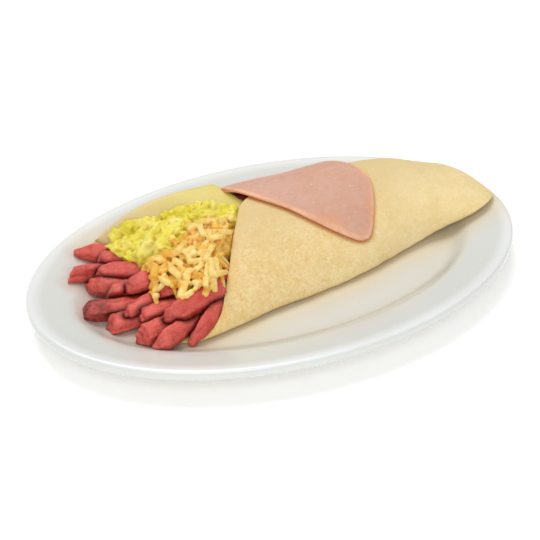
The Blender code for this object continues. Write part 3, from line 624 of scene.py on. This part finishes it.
def fried_sausage():
    look = Look("fried_sausage", "sausage", 0.5, subsurface=0.08, depth=0.001)
    look.shader.inputs["Specular IOR Level"].default_value = 0.45
    lengthways, tip = look.painted_place("along_strip"), look.painted("tip")
    broad = look.between(look.grain(12, 3), 0.38, 0.62)
    colour = look.mix(broad, tone(192, 54, 46), tone(224, 98, 84))
    # Painted shade: sides of the strips that face away from the light are painted darker red.
    colour = look.spotted(colour, look.painted("up"), 0.9, 0.2, 0.85, (156, 30, 25))
    ribs = look.grain(1.9, 3, 0.6, stretch=(0.12, 1, 1), source=lengthways)
    colour = look.spotted(colour, ribs, 0.44, 0.62, 0.7, (158, 34, 28), look.plus(look.times(tip, 0.8), 0.2))
    colour = look.spotted(colour, look.grain(0.6, 4, 0.8), 0.46, 0.64, 0.65, (228, 112, 97))
    colour = look.spotted(colour, look.grain(0.9, 3, 0.7), 0.54, 0.7, 0.5, (150, 30, 26))
    colour = look.mix(look.times(tip, 0.4), colour, tone(224, 106, 94))
    colour = look.spotted(colour, look.grain(5, 3), 0.56, 0.7, 0.6, (110, 24, 16), tip)
    # Painted shade: dark red where strips crowd together and where the ham covers them.
    colour = look.spotted(colour, look.painted("crowded_shade"), 0.15, 0.8, 0.9, (98, 8, 6))
    # Painted shade: a dark red-brown patch round that place.
    away = look.node("VectorMath", {0: look.place, 1: SHADED_PATCH}, output=1, operation="DISTANCE")
    shade_patchiness = look.between(look.grain(4, 3), 0.4, 0.6, 0.3, 1.0)
    look.colour(look.spotted(colour, away, 0.022, 0.010, 0.85, (92, 22, 14), shade_patchiness))
    look.gloss(look.between(look.grain(1.8, 3), 0.35, 0.65, 0.34, 0.6))
    look.relief(ribs, 0.6, 0.65)
    look.relief(look.grain(0.6, 4, 0.75), 0.28, 0.75)
    return look


def make_strip(node, look, offset):
    """A sausage strip with grooves along it, most of all at its end, and shallow dents."""
    obj = remeshed(node, look, VOXEL, 16, node + "_cut")
    at = points_of(obj)
    middle = at.mean(axis=0)
    axes = np.linalg.svd(at - middle, full_matrices=False)[2]
    if axes[0][0] < 0:
        axes[0] *= -1
    local = (at - middle) @ axes.T
    local[:, 0] -= local[:, 0].min()
    tip = ramp(local[:, 0], STRIP_END, 0)
    paint(obj, "along_strip", local)
    paint(obj, "tip", tip)
    grooves = swell(local * np.array([0.11, 1.0, 1.0]), 2.3, offset) * (0.15 + 0.9 * tip)
    dents = 0.7 * swell(at, 7.0, offset) + 0.2 * swell(at, 2.2, offset)
    push_out(obj, grooves + dents + 0.15)
    return obj


def make_sausages(roof):
    look = fried_sausage()
    nodes = sorted(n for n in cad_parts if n.startswith("sausage_"))
    made = [make_strip(node, look, 10.0 * n) for n, node in enumerate(nodes)]
    trees = [tree_of(obj) for obj in made]
    for obj, own in zip(made, trees):
        at = points_of(obj)
        # Painted shade from neighbouring strips and from the ham overhead.
        crowded_shade = np.max([closeness(at, tree, CROWDED_REACH) for tree in trees if tree is not own], axis=0)
        covered = [roof.ray_cast(Vector(p), -DOWN)[0] is not None for p in at]
        paint(obj, "crowded_shade", np.maximum(crowded_shade, COVERED * np.array(covered)))
        # Painted shade: how much each point faces the light.
        paint(obj, "up", np.clip(normals_of(obj) @ LIGHT_SIDE, 0, 1))
    return made


# Guacamole
# Lumps by the pixel that they are seen at, their radius in mm and how pale they are
BIG_LUMPS = (
    (149, 247, 6.6, 1.0), (137, 252, 5.0, 0.2), (126, 246, 5.0, 0.5), (163, 258, 3.4, 0.3),
    (157, 262, 3.6, 0.7), (172, 240, 4.6, 0.1), (166, 229, 4.6, 0.0), (154, 225, 4.6, 0.5),
    (139, 231, 4.4, 0.1), (118, 249, 4.2, 0.3), (112, 252, 3.8, 0.1), (181, 231, 4.6, 0.0),
    (187, 221, 4.8, 0.1), (175, 222, 5.0, 0.9), (199, 213, 4.6, 0.1), (214, 208, 4.8, 0.4),
    (225, 209, 4.2, 0.0), (118, 236, 4.0, 0.4), (128, 229, 3.6, 0.2), (141, 262, 3.6, 0.0),
    (158, 238, 4.4, 0.2), (160, 217, 4.0, 0.2), (192, 228, 4.0, 0.0), (207, 218, 3.6, 0.0),
    (143, 224, 4.2, 0.6), (151, 221, 4.4, 0.1),
)
# How many more lumps are tried, and the rightmost place for one
LUMP_TRIES = 190
LUMPS_RIGHT = -0.01


def mashed_avocado():
    look = Look("mashed_avocado", "guacamole", 0.55, subsurface=0.25, depth=0.0025)
    look.shader.inputs["Specular IOR Level"].default_value = 0.35
    broad = look.between(look.grain(10, 3), 0.38, 0.62)
    colour = look.mix(broad, tone(219, 203, 48), tone(231, 215, 80))
    colour = look.spotted(colour, look.grain(4, 3), 0.52, 0.72, 0.45, (203, 192, 42))
    # Painted light: raised bumps are painted paler, in patches.
    lit_bump_patches = look.between(look.grain(11, 2), 0.46, 0.62, 0.1, 1.0)
    colour = look.spotted(colour, look.painted("raised"), 0.1, 0.7, 0.8, (243, 229, 130), lit_bump_patches)
    ripe = look.times(look.painted("cream"), look.between(look.grain(3.4, 3), 0.36, 0.56, 0.4, 1.0))
    colour = look.mix(ripe, colour, tone(244, 230, 138))
    colour = look.spotted(colour, look.grain(1.0, 3), 0.5, 0.72, 0.3, (240, 226, 112))
    # Painted shade: crevices between the lumps are painted darker.
    look.colour(look.spotted(colour, look.painted("deep"), 0.25, 1.0, 0.8, (176, 150, 34)))
    look.gloss(look.between(look.grain(2.4, 3), 0.35, 0.65, 0.42, 0.65))
    look.relief(look.grain(2.6, 4, 0.65), 0.5, 0.6)
    look.relief(look.grain(0.8, 3, 0.7), 0.14, 0.6)
    return look


def lump(centre, radius, draw):
    """A knobbly ball, flattened a little, and some of them squarish."""
    bm = bmesh.new()
    bmesh.ops.create_icosphere(bm, subdivisions=3, radius=radius)
    angle = draw.uniform(0, 6.28)
    turn = Matrix.Rotation(angle, 3, Vector((draw.gauss(0, 1), draw.gauss(0, 1), 1)).normalized())
    squash = Vector((draw.uniform(0.9, 1.35), draw.uniform(0.75, 1.0), draw.uniform(0.6, 0.85)))
    shift = draw.uniform(0, 50)
    squareness = draw.choice((2, 3, 5))
    for vertex in bm.verts:
        knobs = noise.noise(vertex.co / radius * 1.3 + Vector((shift, 0, 0)))
        square = sum(abs(c / radius) ** squareness for c in vertex.co) ** (-1 / squareness)
        vertex.co = vertex.co * square * (0.92 + 0.42 * knobs)
        vertex.co = turn @ Vector(c * s for c, s in zip(vertex.co, squash))
        vertex.co += centre
    return taken_out(bm)


def make_guacamole(walls):
    draw = random.Random(SEED)
    points, faces = packed_mesh("guacamole", False)
    core = BVHTree.FromPolygons(points, faces)
    lumps, seen = [], []
    for u, v, radius, cream in BIG_LUMPS:
        place, normal, *_ = core.ray_cast(EYE, sight(u, v))
        if place is not None:
            sunk = 0.15 if radius > 6 else 0.4
            lumps.append(lump(place - normal * radius * sunk * MM, radius * MM, draw))
            seen.append((place, radius * MM, cream))
    low, high = box_of(points)
    for n in range(LUMP_TRIES):
        x, y = draw.uniform(low[0], min(high[0], LUMPS_RIGHT)), draw.uniform(low[1], high[1])
        place, normal, *_ = core.ray_cast(Vector((x, y, ABOVE)), DOWN)
        if place is None or normal.z < 0.1:
            continue
        radius = draw.uniform(3.4, 5.0) if n % 3 == 0 else draw.uniform(1.7, 3.0)
        made = lump(place - normal * radius * draw.uniform(0.2, 0.6) * MM, radius * MM, draw)
        if any((place - at).length < reach * 1.05 for at, reach, _ in seen):
            continue
        tree = BVHTree.FromPolygons(made[0], made[1])
        if any(tree.overlap(wall) for wall in walls):
            continue
        lumps.append(made)
    obj = remeshed("guacamole", mashed_avocado(), VOXEL, 2, "guacamole_mashed", lumps)
    at = points_of(obj)
    push_out(obj, 0.6 * swell(at, 4.0, 4.0) + 0.25 * swell(at, 2.2) + 0.1 * swell(at, 1.2, 9.0))
    hollow = hollowness(obj, 16)
    # Painted shade in the crevices.
    paint(obj, "deep", np.clip(hollow, 0, 1))
    # Painted light on the raised bumps.
    paint(obj, "raised", np.clip(-hollow, 0, 1))
    cream = np.zeros(len(at))
    for place, reach, pale in seen:
        away = np.linalg.norm(at - np.array(place), axis=1) / reach
        cream = np.maximum(cream, pale * np.clip(1.9 - away * 1.6, 0, 1))
    paint(obj, "cream", cream)
    return obj


# Grated cheese
# Shreds by the pixels that their two ends are seen at, and their radius in mm
SHREDS_SEEN = (
    (189, 268, 180, 299, 2.4), (170, 268, 181, 277, 2.1), (154, 297, 157, 295, 2.0),
    (176, 254, 185, 243, 2.0), (185, 257, 197, 252, 2.3), (201, 222, 225, 221, 1.9),
    (207, 232, 231, 232, 2.0), (188, 231, 197, 224, 1.8), (214, 243, 205, 260, 1.9),
    (210, 258, 205, 287, 2.0), (215, 258, 217, 275, 1.9), (211, 275, 226, 272, 2.0),
    (214, 278, 215, 292, 1.7), (174, 260, 183, 266, 2.3), (157, 291, 167, 280, 1.9),
    (161, 278, 170, 284, 1.9), (184, 297, 193, 291, 1.8), (193, 281, 199, 285, 1.8),
    (191, 240, 204, 232, 1.7), (203, 246, 216, 236, 1.8), (222, 248, 229, 262, 1.9),
    (198, 262, 188, 259, 1.8), (195, 270, 203, 264, 1.7), (229, 219, 232, 217, 2.4),
    (198, 223, 204, 236, 1.9), (183, 253, 194, 247, 1.8), (187, 262, 202, 260, 1.8),
    (208, 238, 223, 236, 1.9), (211, 258, 212, 276, 1.8), (201, 221, 226, 221, 2.0),
)
# How many more shreds are tried, and how many of them are long ones
SHRED_TRIES, LONG_TRIES = 280, 250
# The rightmost place for the middle of one, and the most that it may rise or fall
SHREDS_RIGHT = -0.012
STEEPEST = 0.011
# Rings of a shred: where they are along it and how wide they are
SHRED_RINGS = (
    (0, 0.62), (0.02, 0.88), (0.08, 1.0), (0.3, 1.04), (0.52, 0.98),
    (0.75, 1.03), (0.93, 0.97), (0.98, 0.85), (1, 0.6),
)
SHRED_SIDES = 8
# How pale the core of the heap is
CORE_PALE = 0.1
# The fineness of the melted heap in mm
SHRED_VOXEL = 0.5


def grated():
    look = Look("grated_cheese_shreds", "grated_cheese", 0.48, subsurface=0.3, depth=0.0025)
    warm = look.mix(look.between(look.grain(5, 3), 0.38, 0.62), tone(224, 162, 40), tone(233, 184, 72))
    light = look.mix(look.between(look.grain(4, 3), 0.35, 0.65), tone(238, 205, 108), tone(243, 222, 148))
    colour = look.mix(look.painted("pale"), warm, light)
    colour = look.spotted(colour, look.grain(1.1, 3), 0.48, 0.75, 0.3, (226, 168, 56))
    # Painted shade: crevices between the shreds are painted dark orange-brown.
    look.colour(look.spotted(colour, look.painted("deep"), 0.25, 0.95, 0.85, (196, 122, 28)))
    look.gloss(look.between(look.grain(2, 2), 0.3, 0.7, 0.36, 0.56))
    look.relief(look.grain(1.8, 3), 0.15, 0.5)
    look.relief(look.grain(0.6, 3), 0.05, 0.5)
    return look


def stick(path, radius, flat, draw):
    """Points and faces of a blunt, nearly square stick along a path of places."""
    count, sides = len(path), SHRED_SIDES
    roll = draw.uniform(-0.6, 0.6)
    lean = draw.uniform(-0.5, 0.5)
    points, faces = [], []
    for i, middle in enumerate(path):
        ahead = (path[min(i + 1, count - 1)] - path[max(i - 1, 0)]).normalized()
        side = ahead.cross(Vector((0, 0, 1))).normalized()
        top = side.cross(ahead)
        wide = SHRED_RINGS[i][1]
        slant = lean * (2 * i / (count - 1) - 1) ** 3
        for n in range(sides):
            turn = 2 * math.pi * n / sides
            c, s = math.cos(turn + roll), math.sin(turn + roll)
            squared = (abs(math.cos(turn)) ** 4 + abs(math.sin(turn)) ** 4) ** -0.25
            reach = radius * wide * squared
            round_it = side * (c * reach) + top * (s * reach * flat)
            points.append(middle + round_it + ahead * (slant * c * radius))
    for i in range(count - 1):
        for n in range(sides):
            k = (n + 1) % sides
            faces.append((i * sides + n, i * sides + k, (i + 1) * sides + k, (i + 1) * sides + n))
    faces.append(tuple(range(sides - 1, -1, -1)))
    faces.append(tuple((count - 1) * sides + n for n in range(sides)))
    return points, faces


def curve_through(places):
    """A gently bent path near the places."""
    at = np.linspace(0, 1, len(places))
    fit = [np.polyfit(at, [p[k] for p in places], 2) for k in range(3)]
    return [Vector(tuple(np.polyval(f, t) for f in fit)) for t, _ in SHRED_RINGS]


def lying_path(x, y, along, lift, carriers):
    """Places of a shred that lies on the highest of what carries it, or None where it would hang or stand."""
    places = []
    for i in range(5):
        step = along * (i / 4 - 0.5)
        hits = [tree.ray_cast(Vector((x, y, ABOVE)) + step, DOWN)[0] for tree in carriers]
        heights = [hit.z for hit in hits if hit is not None]
        if not heights:
            return None
        places.append(Vector((x + step.x, y + step.y, max(heights) + lift)))
    fall = max(p.z for p in places) - min(p.z for p in places)
    return None if fall > STEEPEST else places


def seen_path(ends, lift, carriers):
    """Places of a shred that is seen from one pixel to another, on the nearest of what carries it."""
    u0, v0, u1, v1 = ends
    places = []
    for i in range(6):
        u, v = u0 + (u1 - u0) * i / 5, v0 + (v1 - v0) * i / 5
        hits = [tree.ray_cast(EYE, sight(u, v)) for tree in carriers]
        hits = [hit for hit in hits if hit[0] is not None]
        if hits:
            place = min(hits, key=lambda hit: hit[3])[0]
            places.append(place - sight(u, v) * lift)
    return places if len(places) > 3 else None


def make_grated(below, walls):
    draw = random.Random(SEED + 1)
    core_points, core_faces = packed_mesh("grated_cheese", False)
    core = BVHTree.FromPolygons(core_points, core_faces)
    carriers = [core, *below]
    shreds = []
    tints = [(place, CORE_PALE) for place in core_points]

    def add(places, radius, flat, tint):
        made = stick(curve_through(places), radius * MM, flat, draw)
        tree = BVHTree.FromPolygons(made[0], made[1])
        if any(tree.overlap(wall) for wall in walls):
            return
        shreds.append(made)
        tints.extend((place, tint) for place in made[0])
        carriers.append(tree)

    low, high = box_of(core_points)
    for n in range(SHRED_TRIES):
        x, y = draw.uniform(low[0] + MM, SHREDS_RIGHT), draw.uniform(low[1], high[1])
        length = (draw.uniform(9, 19) if n < LONG_TRIES else draw.uniform(5, 8)) * MM
        heading = draw.uniform(0, math.pi)
        wide = n % 3 == 0
        radius = draw.uniform(1.9, 2.6) if wide else draw.uniform(1.1, 1.55)
        flat = draw.uniform(0.45, 0.6) if wide else draw.uniform(0.65, 0.95)
        tint = min(max(draw.gauss(-0.1 if wide else 0.15, 0.35), 0.0), 1.0)
        if core.ray_cast(Vector((x, y, ABOVE)), DOWN)[0] is None:
            continue
        along = Vector((math.cos(heading), math.sin(heading), 0)) * length
        places = lying_path(x, y, along, radius * flat * 0.3 * MM, carriers)
        if places:
            add(places, radius, flat, tint)
    for *ends, radius in SHREDS_SEEN:
        places = seen_path(ends, radius * 0.6 * MM, carriers)
        if places:
            add(places, radius, 0.8, draw.uniform(0.75, 1.0))
    obj = remeshed("grated_cheese", grated(), SHRED_VOXEL, 2, "grated_cheese_shreds", shreds)
    at = points_of(obj)
    nearest = KDTree(len(tints))
    for n, (place, _) in enumerate(tints):
        nearest.insert(place, n)
    nearest.balance()
    paint(obj, "pale", [tints[nearest.find(Vector(p))[1]][1] for p in at])
    push_out(obj, 0.16 * swell(at, 2.4) + 0.07 * swell(at, 1.1, 5.0))
    # Painted shade in the crevices.
    paint(obj, "deep", np.clip(hollowness(obj, 12), 0, 1))


# Room and camera
def make_room():
    mesh = bpy.data.meshes.new("floor")
    far = FLOOR_REACH
    mesh.from_pydata([(-far, -far, 0), (far, -far, 0), (far, far, 0), (-far, far, 0)], [], [(0, 1, 2, 3)])
    floor = bpy.data.objects.new("floor", mesh)
    bpy.context.scene.collection.objects.link(floor)
    made = bpy.data.materials.new("floor_white")
    made.use_nodes = True
    shader = made.node_tree.nodes["Principled BSDF"]
    shader.inputs["Base Color"].default_value = (0.96, 0.96, 0.96, 1)
    shader.inputs["Roughness"].default_value = 0.9
    shader.inputs["Emission Color"].default_value = (1, 1, 1, 1)
    shader.inputs["Emission Strength"].default_value = FLOOR_GLOW
    mesh.materials.append(made)
    world = bpy.data.worlds.new("studio")
    world.use_nodes = True
    world.node_tree.nodes["Background"].inputs["Color"].default_value = (1, 1, 1, 1)
    world.node_tree.nodes["Background"].inputs["Strength"].default_value = WORLD_LIGHT
    bpy.context.scene.world = world
    for name, place, power, size in LIGHTS:
        light = bpy.data.lights.new(name, "AREA")
        light.energy = power
        light.size = size
        lamp = bpy.data.objects.new(name, light)
        lamp.location = place
        lamp.rotation_euler = (-Vector(place)).to_track_quat("-Z", "Y").to_euler()
        bpy.context.scene.collection.objects.link(lamp)


def make_camera():
    data = bpy.data.cameras.new("camera")
    data.sensor_width = SENSOR
    data.lens = SENSOR * FOCAL / IMAGE
    camera = bpy.data.objects.new("camera", data)
    rows = [(SIDE[k], UP[k], -FORWARD[k], EYE[k]) for k in range(3)]
    camera.matrix_world = Matrix((*rows, (0, 0, 0, 1)))
    bpy.context.scene.collection.objects.link(camera)
    bpy.context.scene.camera = camera


bpy.context.scene.view_settings.view_transform = "Standard"
make_room()
make_camera()
tortilla = make_tortilla()
ham_tree = tree_of(make_ham())
# Painted shadow of the ham's edge on the tortilla.
paint(tortilla, "ham_edge_shadow", closeness(points_of(tortilla), ham_tree, HAM_SHADOW_REACH))
cheese = make_cheese_slice()
sausages = make_sausages(ham_tree)
slice_tree = tree_of(cheese)
tortilla_tree = tree_of(tortilla)
strip_trees = [tree_of(obj) for obj in sausages]
make_plate(tortilla_tree, strip_trees)
guacamole = make_guacamole([slice_tree, tortilla_tree])
make_grated([tree_of(guacamole), slice_tree, *strip_trees], [tortilla_tree])
